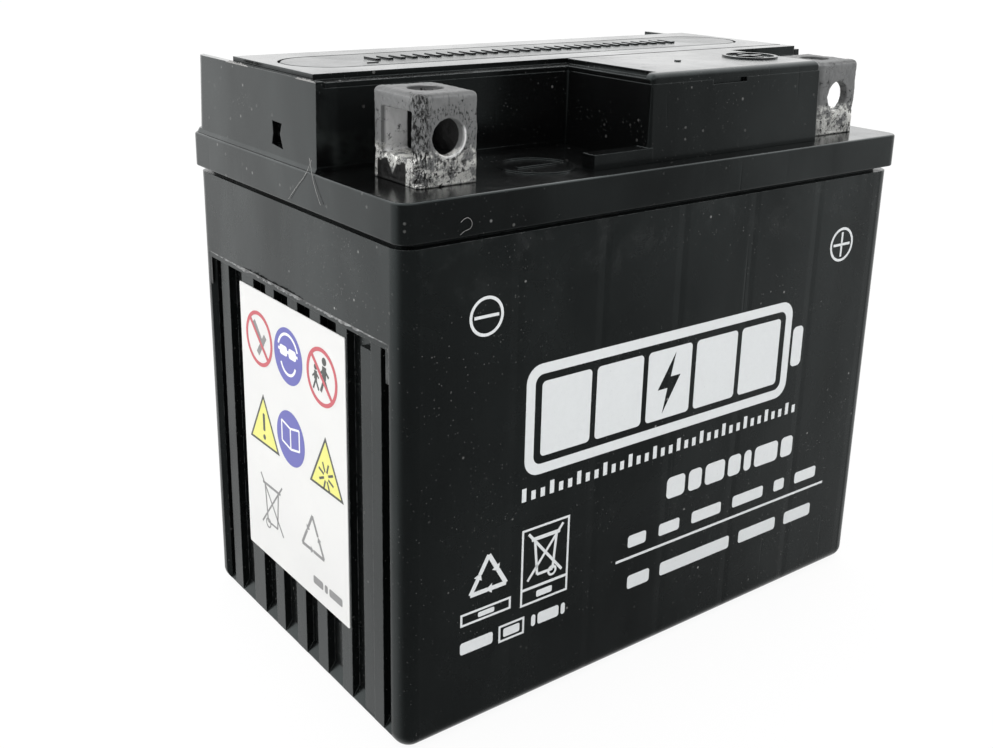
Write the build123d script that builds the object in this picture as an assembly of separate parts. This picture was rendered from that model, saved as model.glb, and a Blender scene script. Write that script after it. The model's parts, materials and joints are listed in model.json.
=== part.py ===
from build123d import *

import math
import os

os.makedirs("parts", exist_ok=True)

# A small sealed 12 V motorcycle battery, six cells in a row along X.
# The origin is on the floor under the middle of the box. The printed side and the two
# terminals face -Y, and the positive terminal is at the +X end. Millimetres throughout.

# Overall size
LENGTH = 113.5
WIDTH = 70.5
HEIGHT = 105.7

# Heights of the main surfaces
FLOOR_Z = 2.5
BAND_Z = 68.2
SHOULDER_Z = 83.9
FLANGE_Z = 84.8
DECK_UNDER_Z = 88.4
DECK_Z = 90.9
PAD_UNDER_Z = 101.6
PAD_Z = 103.4
SEAM_Z = 103.7
RIM_Z = 104.7
COVER_Z = 105.4

# Case
FOOT_INSET = 0.8
SHOULDER_INSET = 0.6
CASE_CORNER = 3.0
FOOT_RADIUS = 2.8
NECK_INSET = 2.1
NECK_CORNER = 3.0
PITCH = 17.5
PARTITION = 1.5
CELL_HALF_WIDTH = 31.0
CELLS = 6
CELL_LENGTH = PITCH - PARTITION
WELD_Z = 80.2
WELD_RADIUS = 2.9

# Ribbed panel at each end of the case
PANEL_HALF_WIDTH = 30.2
GROOVE_X = 53.9
RIB_X = 55.3
SHORT_RIB_X = 55.1
SHORT_RIB_TOP_Z = 66.0
RIB_ROOT = 0.5
RAMP_LOW_Z = 0.8
RAMP_HIGH_Z = 3.0
RAMP_RUN = 1.5
BEVEL_OUTER_X = 56.1
BEVEL = 0.9

# Lid
FLANGE_CORNER = 2.4
FLANGE_TOP_EDGE = 0.4
FLANGE_LOW_EDGE = 0.3
BLEND_HEIGHT = 0.8
SKIRT_CLEARANCE = 0.1
RAISED_X = 56.0
RAISED_FRONT = -10.5
RAISED_BACK = 34.4
DRAFT_INSET = 0.45
BLOCK_LEFT = -6.3
BLOCK_RIGHT = 36.6
BLOCK_FRONT = -31.5
WALL = 2.0
CHAMBER_X = 53.2
CHAMBER_BACK = 20.3
RIM_INNER_X = 54.2
COVER_X = 54.05
TERRACE_FRONT = 21.8
TERRACE_Z = 102.2
POCKET_FRONT = 22.3
STEP_LEFT = -18.0
STEP_DEPTH = 2.9
STEP_HEIGHT = 2.5
NOTCH_LEFT = 8.3
NOTCH_RIGHT = 16.6
NOTCH_DEPTH = 1.1
NOTCH_HEIGHT = 0.8
BACK_CORNER = 2.8
FRONT_CORNER = 0.7
VENT_OUTLINE = ((4.3, 97.0), (1.0, 96.9), (1.6, 95.1), (0.5, 92.8), (4.4, 93.2), (4.0, 95.0))
FILTER_FRONT = -1.3
FILTER_BACK = 6.3
FILTER_THICKNESS = 2.6
FILTER_TOP_Z = 98.5
FILTER_GAP = 0.1
FILTER_RIB = 0.7

# Top cover and the raised marks
COVER_NOSE = 1.1
LEDGE_DROP = 0.9
BACK_MARGIN = 3.7
SIDE_MARGIN = 2.4
FRONT_MARGIN = 1.6
COVER_GROOVE = 0.6
MARK_HEIGHT = 0.3
MARK_LINE = 0.7
MINUS_PLACE = (-23.6, -23.8)
MINUS_RADIUS = 6.6
PLUS_PLACE = (29.3, -20.2)
PLUS_RADIUS = 5.1
GATE_PLACE = (11.6, -19.2)
GATE_RADIUS = 0.6
GATE_HEIGHT = 0.2
MOULD_MARK_PLACE = (-37.8, 3.3)
MOULD_MARK_RADIUS = 1.3
MOULD_MARK_HEIGHT = 0.15

# Filling ports, plugs and relief valves
PORT_Y = 7.5
PORT_RADIUS = 5.0
PORT_WALL = 1.6
PORT_LOW_Z = 85.7
PAD_RADIUS = 9.6
STRIP_RADIUS = 8.0
STRIP_GAP = 0.25
PLUG_RADIUS = 4.7
PLUG_BORE = 3.2
PLUG_LOW_Z = 91.7
PLUG_CHAMFER = 0.5
STRIP_CHAMFER = 0.35
STRIP_SEAT = 0.1
SEAL_Z = 94.7
SEAL_SECTION = 0.475
SEAL_GROOVE = 1.2
SEAL_GROOVE_RADIUS = 4.0
VALVE_Y = -4.2
STUB_RADIUS = 3.0
STUB_BORE = 1.2
FOOTING_BACK = 3.0
FOOTING_HEIGHT = 1.0
STUB_TOP_Z = 96.7
VALVE_CAP_RADIUS = 4.2
VALVE_CAP_TOP_Z = 98.2
PEG_RADIUS = 1.5
GRIP_RIBS = 29
GRIP_PITCH = 2.5
GRIP_WIDTH = 1.0
GRIP_LENGTH = 4.0

# Terminals
TERMINAL_WIDTH = 10.9
TERMINAL_DEPTH = 12.5
TERMINAL_Y = -22.25
TERMINAL_TOP_Z = 104.7
TERMINAL_CORNER = 0.9
TERMINAL_EDGE = 1.0
NEGATIVE_X = -43.9
POSITIVE_X = 45.4
BOLT_RADIUS = 2.75
BOLT_Z = 98.1
SLOT_LOW_Z = 95.1
SLOT_HIGH_Z = 101.9
SLOT_FRONT = -26.7
SLOT_BACK = -18.4
SLOT_END_WALL = 1.9
SHANK_RADIUS = 3.75
SHANK_LOW_Z = 85.4
BUSHING_RADIUS = 6.0
BUSHING_TOP_Z = 89.9
CUP_RADIUS = 7.0
CUP_BORE = 5.7
CUP_LOW_Z = 85.6
NEGATIVE_POST_X = -43.75
POSITIVE_POST_X = 44.7

# Plate stacks
PLATE_LOW_Z = 4.0
PLATE_TOP_Z = 67.2
MAT_TOP_Z = 69.2
STRAP_Z = 72.2
STRAP_THICKNESS = 4.0
TAB_TOP_Z = 84.4
TAB_THICKNESS = 2.2
STRAP_Y = 22.0
STRAP_WIDTH = 9.0
NEGATIVE_THICKNESS = 1.8
POSITIVE_THICKNESS = 2.4
NEGATIVE_HALF_WIDTH = 29.5
POSITIVE_HALF_WIDTH = 29.0
LUG_WIDTH = 7.0
MAT_THICKNESS = 1.4
MAT_HALF_WIDTH = 30.6
STRAP_HALF_LENGTH = 7.9
NEGATIVE_OFFSETS = (-7.0, 0.0, 7.0)
POSITIVE_OFFSETS = (-3.5, 3.5)

# End label
LABEL_FRONT = -17.1
LABEL_BACK = 20.2
LABEL_LOW_Z = 14.2
LABEL_HIGH_Z = 66.0
LABEL_THICKNESS = 0.15
LABEL_CORNER = 0.3

# Centre, width, top and outer face of each rib at the left end, from the front
RIBS = (
    (-26.15, 2.9, BAND_Z, RIB_X),
    (-23.1, 3.4, SHORT_RIB_TOP_Z, SHORT_RIB_X),
    (-15.9, 3.3, BAND_Z, RIB_X),
    (-7.4, 3.4, BAND_Z, RIB_X),
    (0.35, 3.4, BAND_Z, RIB_X),
    (8.65, 3.2, BAND_Z, RIB_X),
    (17.2, 4.6, BAND_Z, RIB_X),
    (26.6, 3.3, BAND_Z, RIB_X),
)

cell_x = [PITCH * (i - (CELLS - 1) / 2) for i in range(CELLS)]

# How far the raised walls have drawn in where they meet the cover
SEAM_INSET = DRAFT_INSET * (SEAM_Z - DECK_Z) / (RIM_Z - DECK_Z)


def span(x0, x1, y0, y1, z0, z1):
    """A box given by its lowest and highest corners."""
    middle = Pos((x0 + x1) / 2, (y0 + y1) / 2, (z0 + z1) / 2)
    return middle * Box(x1 - x0, y1 - y0, z1 - z0)


def rounded(length, width, radius, z0, z1):
    """An upright prism on a rounded rectangle, centred on the Z axis."""
    return extrude(Pos(0, 0, z0) * RectangleRounded(length, width, radius), amount=z1 - z0)


def rod(x, y, radius, z0, z1):
    """An upright round bar."""
    return Pos(x, y, (z0 + z1) / 2) * Cylinder(radius, z1 - z0)


def ring(x, y, radius, bore, z0, z1):
    """An upright tube."""
    return rod(x, y, radius, z0, z1) - rod(x, y, bore, z0 - 1, z1 + 1)


def obround(radius, z0, z1):
    """A round-ended bar over all six filling ports."""
    length = cell_x[-1] - cell_x[0]
    outline = Pos(0, PORT_Y, z0) * SlotCenterToCenter(length, 2 * radius)
    return extrude(outline, amount=z1 - z0)


def save(node, shape):
    """Write one named piece of the battery."""
    export_step(shape, f"parts/{node}.step")


# ---------------------------------------------------------------- case


def end_rib(side, centre, width, top, face):
    """One upright rib of an end panel, still to be trimmed to the case's outside."""
    x0, x1 = sorted((side * face, side * (GROOVE_X - RIB_ROOT)))
    middle = -side * centre
    return span(x0, x1, middle - width / 2, middle + width / 2, 0, top)


def end_panel(side):
    """The space cut away at one end, and the ribs that stand in it."""
    outside = side * (LENGTH / 2 + 1)
    profile = Polyline(
        (side * GROOVE_X, 0, BAND_Z),
        (side * GROOVE_X, 0, RAMP_HIGH_Z),
        (side * (GROOVE_X + RAMP_RUN), 0, RAMP_LOW_Z),
        (outside, 0, RAMP_LOW_Z),
        (outside, 0, BAND_Z),
        close=True,
    )
    space = extrude(make_face(profile), amount=PANEL_HALF_WIDTH, dir=(0, 1, 0), both=True)
    return space, [end_rib(side, *rib) for rib in RIBS]


def end_bevel(side):
    """The sloping mouth of the panel, which leaves a narrow bevel round its edge."""
    height = BAND_Z - RAMP_LOW_Z
    mouth = Plane(origin=(side * BEVEL_OUTER_X, 0, RAMP_LOW_Z + height / 2), x_dir=(0, 1, 0),
                  z_dir=(-side, 0, 0))
    outline = Rectangle(2 * (PANEL_HALF_WIDTH + BEVEL), height + 2 * BEVEL)
    return extrude(mouth * outline, amount=BEVEL, taper=45)


def make_case():
    """The open box with five cell partitions."""
    draft = -math.degrees(math.atan((FOOT_INSET - SHOULDER_INSET) / SHOULDER_Z))
    foot = RectangleRounded(LENGTH - 2 * FOOT_INSET, WIDTH - 2 * FOOT_INSET, CASE_CORNER)
    envelope = extrude(foot, amount=SHOULDER_Z, taper=draft)
    envelope = fillet(envelope.edges().group_by(Axis.Z)[0], FOOT_RADIUS)
    case = envelope
    for side in (-1, 1):
        space, ribs = end_panel(side)
        case = case - space - end_bevel(side)
        for one in ribs:
            case = case + (one & envelope)
    case = case + rounded(LENGTH - 2 * NECK_INSET, WIDTH - 2 * NECK_INSET, NECK_CORNER,
                          SHOULDER_Z - 1, DECK_UNDER_Z)
    for x in cell_x:
        case = case - span(x - CELL_LENGTH / 2, x + CELL_LENGTH / 2, -CELL_HALF_WIDTH,
                           CELL_HALF_WIDTH, FLOOR_Z, DECK_UNDER_Z + 1)
    for place in range(CELLS - 1):
        case = case - weld_button(place, PARTITION + 1)
    return case


def side_of_weld(place):
    """Welds alternate between the back (+1) and the front (-1) of the row of cells."""
    return 1 if place % 2 == 0 else -1


def weld_button(place, length):
    """The round lead joint through the partition between two cells."""
    x = (cell_x[place] + cell_x[place + 1]) / 2
    where = Pos(x, side_of_weld(place) * STRAP_Y, WELD_Z) * Rot(0, 90, 0)
    return where * Cylinder(WELD_RADIUS, length)


# ---------------------------------------------------------------- lid


def raised_walls():
    """The solid of the raised part, a bar with a block in front, drawn in towards its top."""
    bar = Rectangle(2 * RAISED_X, RAISED_BACK - RAISED_FRONT)
    block = Rectangle(BLOCK_RIGHT - BLOCK_LEFT, RAISED_FRONT - BLOCK_FRONT)
    outline = (Pos(0, (RAISED_FRONT + RAISED_BACK) / 2) * bar
               + Pos((BLOCK_LEFT + BLOCK_RIGHT) / 2, (RAISED_FRONT + BLOCK_FRONT) / 2) * block)
    outline = fillet(outline.vertices().group_by(Axis.Y)[-1], BACK_CORNER)
    outline = fillet(outline.vertices().group_by(Axis.Y)[0], FRONT_CORNER)
    height = RIM_Z - DECK_Z
    draft = math.degrees(math.atan(DRAFT_INSET / height))
    return extrude(Pos(0, 0, DECK_Z) * outline, amount=height, taper=draft)


def polarity_ring(x, y, z, radius, bars):
    """A raised ring round a minus, or with two bars round a plus."""
    mark = ring(x, y, radius, radius - MARK_LINE, z, z + MARK_HEIGHT)
    for turned in range(bars):
        bar = Box(1.2 * radius, MARK_LINE, MARK_HEIGHT)
        mark = mark + Pos(x, y, z + MARK_HEIGHT / 2) * Rot(0, 0, 90 * turned) * bar
    return mark


def vent_opening():
    """The small gas outlet in the left end wall, waisted like a keyhole."""
    outline = Polyline(*[(-RAISED_X - 1, y, z) for y, z in VENT_OUTLINE], close=True)
    return extrude(make_face(outline), amount=RAISED_X - CHAMBER_X + 2, dir=(1, 0, 0))


def terminal_well(x):
    """The cup under the deck that seals a terminal's shank, and the holes for its bushing."""
    cup = rod(x, TERMINAL_Y, CUP_RADIUS, CUP_LOW_Z, DECK_UNDER_Z)
    hollow = rod(x, TERMINAL_Y, CUP_BORE, CUP_LOW_Z - 1, DECK_UNDER_Z)
    seat = rod(x, TERMINAL_Y, BUSHING_RADIUS, DECK_UNDER_Z - 0.5, BUSHING_TOP_Z)
    hole = rod(x, TERMINAL_Y, SHANK_RADIUS, DECK_UNDER_Z, DECK_Z + 1)
    return cup, hollow + seat + hole


def wall_blend():
    """The slope that joins the outside of the raised walls to the edge of the flange."""
    length, width = LENGTH - 2 * FLANGE_TOP_EDGE, WIDTH - 2 * FLANGE_TOP_EDGE
    outline = Pos(0, 0, DECK_Z) * RectangleRounded(length, width, FLANGE_CORNER - FLANGE_TOP_EDGE)
    slope = math.degrees(math.atan((length / 2 - RAISED_X + 0.1) / BLEND_HEIGHT))
    band = extrude(outline, amount=BLEND_HEIGHT, taper=slope)
    return band & span(-LENGTH, LENGTH, RAISED_FRONT, WIDTH, DECK_Z, HEIGHT)


def pocket(x, z0, z1):
    """The space over the back of one cell, under the terrace."""
    return span(x - CELL_LENGTH / 2, x + CELL_LENGTH / 2, POCKET_FRONT, CELL_HALF_WIDTH, z0, z1)


def make_lid():
    """The welded lid: flange, deck, sealing cups and the lower ends of the filling ports."""
    lid = rounded(LENGTH, WIDTH, FLANGE_CORNER, FLANGE_Z, DECK_Z)
    lid = fillet(lid.edges().group_by(Axis.Z)[-1], FLANGE_TOP_EDGE)
    lid = fillet(lid.edges().group_by(Axis.Z)[0], FLANGE_LOW_EDGE)
    lid = lid - rounded(LENGTH - 2 * (NECK_INSET - SKIRT_CLEARANCE),
                        WIDTH - 2 * (NECK_INSET - SKIRT_CLEARANCE), NECK_CORNER,
                        FLANGE_Z - 1, DECK_UNDER_Z)
    for x in cell_x:
        lid = lid + rod(x, PORT_Y, PORT_RADIUS + PORT_WALL, PORT_LOW_Z, DECK_UNDER_Z)
        lid = lid - rod(x, PORT_Y, PORT_RADIUS, PORT_LOW_Z - 1, DECK_Z + 1)
        lid = lid - rod(x, VALVE_Y, STUB_BORE, DECK_UNDER_Z - 1, DECK_Z + 1)
        lid = lid - pocket(x, DECK_UNDER_Z - 1, DECK_Z + 1)
    for x in (NEGATIVE_POST_X, POSITIVE_POST_X):
        cup, hollow = terminal_well(x)
        lid = lid + cup - hollow
    return lid + polarity_ring(*MINUS_PLACE, DECK_Z, MINUS_RADIUS, 1)


def make_vent_chamber():
    """The raised part of the lid: walls, terrace, filling ports and valve stubs."""
    chamber = raised_walls() + wall_blend()
    chamber = chamber - span(-CHAMBER_X, CHAMBER_X, RAISED_FRONT + WALL, CHAMBER_BACK, DECK_Z - 1,
                             RIM_Z + 1)
    chamber = chamber - span(BLOCK_LEFT + WALL, BLOCK_RIGHT - WALL, BLOCK_FRONT + WALL,
                             RAISED_FRONT + WALL + 1, DECK_Z - 1, RIM_Z + 1)
    chamber = chamber - span(-RIM_INNER_X, RIM_INNER_X, BLOCK_FRONT - 1, TERRACE_FRONT, SEAM_Z,
                             RIM_Z + 1)
    chamber = chamber - span(-RIM_INNER_X, RIM_INNER_X, TERRACE_FRONT, WIDTH, TERRACE_Z,
                             RIM_Z + 1)
    chamber = chamber + span(STEP_LEFT, BLOCK_LEFT + 1, BLOCK_FRONT, BLOCK_FRONT + STEP_DEPTH,
                             DECK_Z, DECK_Z + STEP_HEIGHT)
    chamber = chamber - span(NOTCH_LEFT, NOTCH_RIGHT, BLOCK_FRONT - 1, BLOCK_FRONT + NOTCH_DEPTH,
                             SEAM_Z - NOTCH_HEIGHT, SEAM_Z + 1)
    chamber = chamber - vent_opening()
    for y in (FILTER_FRONT - FILTER_GAP - FILTER_RIB, FILTER_BACK + FILTER_GAP):
        chamber = chamber + span(-CHAMBER_X - 0.5, -CHAMBER_X + FILTER_THICKNESS, y,
                                 y + FILTER_RIB, DECK_Z, FILTER_TOP_Z)
    chamber = chamber + (obround(PAD_RADIUS, PAD_UNDER_Z, SEAM_Z)
                         - obround(STRIP_RADIUS + STRIP_GAP, PAD_Z, SEAM_Z + 1))
    chamber = chamber + span(cell_x[0], cell_x[-1], VALVE_Y - STUB_RADIUS, FOOTING_BACK, DECK_Z,
                             DECK_Z + FOOTING_HEIGHT)
    for x in cell_x:
        chamber = chamber + rod(x, PORT_Y, PORT_RADIUS + PORT_WALL, DECK_Z, PAD_UNDER_Z)
        chamber = chamber + rod(x, VALVE_Y, STUB_RADIUS, DECK_Z, STUB_TOP_Z)
        chamber = chamber - pocket(x, DECK_Z - 1, TERRACE_Z - WALL)
    for x in cell_x:
        chamber = chamber - rod(x, PORT_Y, PORT_RADIUS, DECK_Z - 1, SEAM_Z + 1)
        chamber = chamber - rod(x, VALVE_Y, STUB_BORE, DECK_Z - 1, STUB_TOP_Z + 1)
    return chamber


def make_cover():
    """The flat cover welded on the raised part, open where the plug strip sits."""
    left, right = BLOCK_LEFT + SEAM_INSET, BLOCK_RIGHT - SEAM_INSET
    front, bar_front = BLOCK_FRONT + SEAM_INSET, RAISED_FRONT + SEAM_INSET
    cover = (span(-COVER_X, COVER_X, bar_front, TERRACE_FRONT, SEAM_Z, COVER_Z)
             + span(left, right, front, bar_front, SEAM_Z, COVER_Z))
    cover = fillet(cover.edges().filter_by(Axis.Z).group_by(Axis.Y)[0], FRONT_CORNER)
    nose = cover.faces().sort_by(Axis.Y)[0].edges().group_by(Axis.Z)[-1]
    cover = fillet(nose, COVER_NOSE)
    ledge_z = COVER_Z - LEDGE_DROP
    margin_y = bar_front + BACK_MARGIN
    margin_x = left + SIDE_MARGIN
    cover = cover - span(-RAISED_X, margin_x, bar_front - 1, margin_y, ledge_z, HEIGHT)
    cover = cover - span(left - 1, margin_x, front + FRONT_MARGIN, bar_front, ledge_z, HEIGHT)
    cover = cover - span(margin_x - 1, RAISED_X, margin_y - COVER_GROOVE, margin_y, ledge_z,
                         HEIGHT)
    cover = cover - obround(STRIP_RADIUS + STRIP_GAP, SEAM_Z - 1, HEIGHT)
    for x in cell_x:
        cover = cover + rod(x, VALVE_Y, PEG_RADIUS, VALVE_CAP_TOP_Z, SEAM_Z + 0.5)
    mark = polarity_ring(*PLUS_PLACE, COVER_Z, PLUS_RADIUS, 2)
    return cover + mark + rod(*GATE_PLACE, GATE_RADIUS, COVER_Z, COVER_Z + GATE_HEIGHT)


# ---------------------------------------------------------------- plugs, seals and valves


def make_plug_strip():
    """Six hollow plugs on one round-ended bar with grip ribs, and a small mould mark."""
    strip = obround(STRIP_RADIUS, PAD_Z + STRIP_SEAT, COVER_Z)
    strip = chamfer(strip.edges().group_by(Axis.Z)[-1], STRIP_CHAMFER)
    for x in cell_x:
        plug = rod(x, PORT_Y, PLUG_RADIUS, PLUG_LOW_Z, PAD_Z + 0.2)
        plug = chamfer(plug.edges().group_by(Axis.Z)[0], PLUG_CHAMFER)
        plug = plug - ring(x, PORT_Y, PLUG_RADIUS + 1, SEAL_GROOVE_RADIUS,
                           SEAL_Z - SEAL_GROOVE / 2, SEAL_Z + SEAL_GROOVE / 2)
        strip = strip + (plug - rod(x, PORT_Y, PLUG_BORE, PLUG_LOW_Z - 1, PAD_Z - 0.4))
    for i in range(GRIP_RIBS):
        x = GRIP_PITCH * (i - (GRIP_RIBS - 1) / 2)
        strip = strip + span(x - GRIP_WIDTH / 2, x + GRIP_WIDTH / 2, PORT_Y - GRIP_LENGTH / 2,
                             PORT_Y + GRIP_LENGTH / 2, COVER_Z - 0.1, HEIGHT)
    triangle = Pos(*MOULD_MARK_PLACE, COVER_Z) * Rot(0, 0, 90) * RegularPolygon(MOULD_MARK_RADIUS, 3)
    return strip + extrude(triangle, amount=MOULD_MARK_HEIGHT)


def make_plug_seals():
    """A rubber ring in the groove of each plug."""
    radius = SEAL_GROOVE_RADIUS + SEAL_SECTION
    return Compound(children=[Pos(x, PORT_Y, SEAL_Z) * Torus(radius, SEAL_SECTION)
                              for x in cell_x])


def make_valve_caps():
    """A soft rubber cap stretched over each cell's vent stub."""
    caps = []
    for x in cell_x:
        cap = rod(x, VALVE_Y, VALVE_CAP_RADIUS, DECK_Z + 1.2, VALVE_CAP_TOP_Z)
        cap = fillet(cap.edges().group_by(Axis.Z)[-1], 0.8)
        caps.append(cap - rod(x, VALVE_Y, STUB_RADIUS, DECK_Z, STUB_TOP_Z + 0.1))
    return Compound(children=caps)


def make_vent_filter():
    """The porous block behind the gas outlet, which stops a spark going in."""
    left = -CHAMBER_X + FILTER_GAP
    return span(left, left + FILTER_THICKNESS, FILTER_FRONT, FILTER_BACK, DECK_Z + FILTER_GAP,
                FILTER_TOP_Z)


# ---------------------------------------------------------------- terminals


def make_terminal(x, post_x, outward):
    """A cast lead block with a nut slot open to one side and bolt holes front and top."""
    half_width = TERMINAL_WIDTH / 2
    half_depth = TERMINAL_DEPTH / 2
    block = span(x - half_width, x + half_width, TERMINAL_Y - half_depth, TERMINAL_Y + half_depth,
                 DECK_Z, TERMINAL_TOP_Z)
    block = fillet(block.edges().filter_by(Axis.Z), TERMINAL_CORNER)
    block = fillet(block.edges().group_by(Axis.Z)[-1], TERMINAL_EDGE)
    inner = x - outward * (half_width - SLOT_END_WALL)
    outer = x + outward * (half_width + 1)
    block = block - span(*sorted((inner, outer)), SLOT_FRONT, SLOT_BACK, SLOT_LOW_Z,
                         SLOT_HIGH_Z)
    front_wall = Pos(x, SLOT_FRONT - half_depth / 2, BOLT_Z) * Rot(90, 0, 0)
    block = block - front_wall * Cylinder(BOLT_RADIUS, half_depth)
    block = block - rod(x, TERMINAL_Y, BOLT_RADIUS, SLOT_HIGH_Z - 1, TERMINAL_TOP_Z + 1)
    return block + rod(post_x, TERMINAL_Y, SHANK_RADIUS, SHANK_LOW_Z, DECK_Z)


def make_terminal_seals(side, post_x):
    """The lead bushing in the deck, and the rubber ring and resin collar below it."""
    save(f"{side}_bushing", ring(post_x, TERMINAL_Y, BUSHING_RADIUS, SHANK_RADIUS, DECK_UNDER_Z,
                                 BUSHING_TOP_Z))
    section = (CUP_BORE - SHANK_RADIUS) / 2
    gasket = Torus(SHANK_RADIUS + section, section - 0.02)
    save(f"{side}_gasket", Pos(post_x, TERMINAL_Y, DECK_UNDER_Z - section) * gasket)
    save(f"{side}_potting", ring(post_x, TERMINAL_Y, CUP_BORE, SHANK_RADIUS, CUP_LOW_Z,
                                 CUP_LOW_Z + 0.8))


# ---------------------------------------------------------------- cells


def plates(x, offsets, thickness, half_width, lug_y):
    """The plates of one polarity, each with a lug up to its strap."""
    found = []
    for offset in offsets:
        low, high = x + offset - thickness / 2, x + offset + thickness / 2
        plate = span(low, high, -half_width, half_width, PLATE_LOW_Z, PLATE_TOP_Z)
        found.append(plate + span(low, high, lug_y - LUG_WIDTH / 2, lug_y + LUG_WIDTH / 2,
                                  PLATE_TOP_Z - 1, STRAP_Z))
    return Compound(children=found)


def separators(x):
    """The glass mats, each folded up round one positive plate."""
    mats = []
    for offset in POSITIVE_OFFSETS:
        inner = POSITIVE_THICKNESS / 2
        outer = inner + MAT_THICKNESS
        middle = x + offset
        mat = span(middle - outer, middle + outer, -MAT_HALF_WIDTH, MAT_HALF_WIDTH, FLOOR_Z,
                   MAT_TOP_Z)
        mats.append(mat - span(middle - inner, middle + inner, -MAT_HALF_WIDTH - 1,
                               MAT_HALF_WIDTH + 1, PLATE_LOW_Z, MAT_TOP_Z + 1))
    return Compound(children=mats)


def strap(x, y, tab_side):
    """A cast strap across the lugs, with a tab against the partition where it joins on."""
    low, high = y - STRAP_WIDTH / 2, y + STRAP_WIDTH / 2
    bar = span(x - STRAP_HALF_LENGTH, x + STRAP_HALF_LENGTH, low, high, STRAP_Z,
               STRAP_Z + STRAP_THICKNESS)
    if tab_side:
        face = x + tab_side * CELL_LENGTH / 2
        back = face - tab_side * TAB_THICKNESS
        bar = bar + span(*sorted((face, back)), low, high, STRAP_Z, TAB_TOP_Z)
    return bar


def make_cells():
    """Plates, mats and straps of the six cells, joined in series."""
    for i, x in enumerate(cell_x):
        negative_y = -STRAP_Y if i % 2 == 0 else STRAP_Y
        positive_y = -negative_y
        number = i + 1
        save(f"negative_plates_{number}",
             plates(x, NEGATIVE_OFFSETS, NEGATIVE_THICKNESS, NEGATIVE_HALF_WIDTH, negative_y))
        save(f"positive_plates_{number}",
             plates(x, POSITIVE_OFFSETS, POSITIVE_THICKNESS, POSITIVE_HALF_WIDTH, positive_y))
        save(f"separators_{number}", separators(x))
        first, last = i == 0, i == CELLS - 1
        negative = strap(x, negative_y, 0 if first else -1)
        positive = strap(x, positive_y, 0 if last else 1)
        top = STRAP_Z + STRAP_THICKNESS - 0.5
        if first:
            negative = negative + rod(NEGATIVE_POST_X, TERMINAL_Y, SHANK_RADIUS, top, SHANK_LOW_Z)
        if last:
            positive = positive + rod(POSITIVE_POST_X, TERMINAL_Y, SHANK_RADIUS, top, SHANK_LOW_Z)
        save(f"negative_strap_{number}", negative)
        save(f"positive_strap_{number}", positive)
    welds = [weld_button(place, PARTITION) for place in range(CELLS - 1)]
    save("intercell_welds", Compound(children=welds))


def make_label():
    """The plain label stuck across the ribs of the left end."""
    outline = Pos(0, (LABEL_FRONT + LABEL_BACK) / 2, (LABEL_LOW_Z + LABEL_HIGH_Z) / 2)
    turn = Rot(0, 90, 0)
    size = RectangleRounded(LABEL_HIGH_Z - LABEL_LOW_Z, LABEL_BACK - LABEL_FRONT, LABEL_CORNER)
    sheet = extrude(size, amount=LABEL_THICKNESS)
    return Pos(-RIB_X - LABEL_THICKNESS, 0, 0) * outline * turn * sheet


save("case", make_case())
save("lid", make_lid())
save("vent_chamber", make_vent_chamber())
save("top_cover", make_cover())
save("plug_strip", make_plug_strip())
save("plug_seals", make_plug_seals())
save("valve_caps", make_valve_caps())
save("vent_filter", make_vent_filter())
save("end_label", make_label())
save("negative_terminal", make_terminal(NEGATIVE_X, NEGATIVE_POST_X, -1))
save("positive_terminal", make_terminal(POSITIVE_X, POSITIVE_POST_X, 1))
make_terminal_seals("negative", NEGATIVE_POST_X)
make_terminal_seals("positive", POSITIVE_POST_X)
make_cells()
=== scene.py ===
import json
import math
import random

import bmesh
import bpy
from mathutils import Matrix, Vector, noise


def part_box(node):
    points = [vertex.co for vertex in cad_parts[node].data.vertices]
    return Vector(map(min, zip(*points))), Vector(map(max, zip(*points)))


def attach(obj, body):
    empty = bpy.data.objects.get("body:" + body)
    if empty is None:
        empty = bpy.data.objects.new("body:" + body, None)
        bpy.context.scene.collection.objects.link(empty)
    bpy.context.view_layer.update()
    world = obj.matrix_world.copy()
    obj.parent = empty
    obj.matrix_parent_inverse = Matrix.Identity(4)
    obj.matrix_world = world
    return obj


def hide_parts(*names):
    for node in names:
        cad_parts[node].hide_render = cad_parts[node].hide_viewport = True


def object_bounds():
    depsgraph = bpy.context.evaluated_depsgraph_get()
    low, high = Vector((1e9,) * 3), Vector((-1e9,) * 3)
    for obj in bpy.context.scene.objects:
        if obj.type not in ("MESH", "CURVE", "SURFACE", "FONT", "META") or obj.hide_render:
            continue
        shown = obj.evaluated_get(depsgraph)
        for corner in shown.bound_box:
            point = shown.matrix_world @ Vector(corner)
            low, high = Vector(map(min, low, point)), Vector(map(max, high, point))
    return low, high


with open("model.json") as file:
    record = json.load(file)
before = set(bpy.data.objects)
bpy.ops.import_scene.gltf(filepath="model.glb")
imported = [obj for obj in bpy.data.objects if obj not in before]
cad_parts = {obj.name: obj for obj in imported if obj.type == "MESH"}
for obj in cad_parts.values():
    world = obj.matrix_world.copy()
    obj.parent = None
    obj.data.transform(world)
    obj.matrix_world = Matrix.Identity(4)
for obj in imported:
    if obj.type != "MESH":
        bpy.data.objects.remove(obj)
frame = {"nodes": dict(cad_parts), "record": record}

# A sealed motorcycle battery in a plain white studio. Places are in metres, and MM turns millimetres
# into metres. X runs along the printed side from left to right, and +Y is the back.
MM = 0.001
cad_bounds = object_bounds()

case_low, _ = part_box("case")
lid_low, lid_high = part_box("lid")
rim_low, rim_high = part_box("vent_chamber")
label_low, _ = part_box("end_label")
block_low, block_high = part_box("negative_terminal")
deck_z = lid_high.z

# ------------------------------------------------------------------ small node helpers


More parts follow.
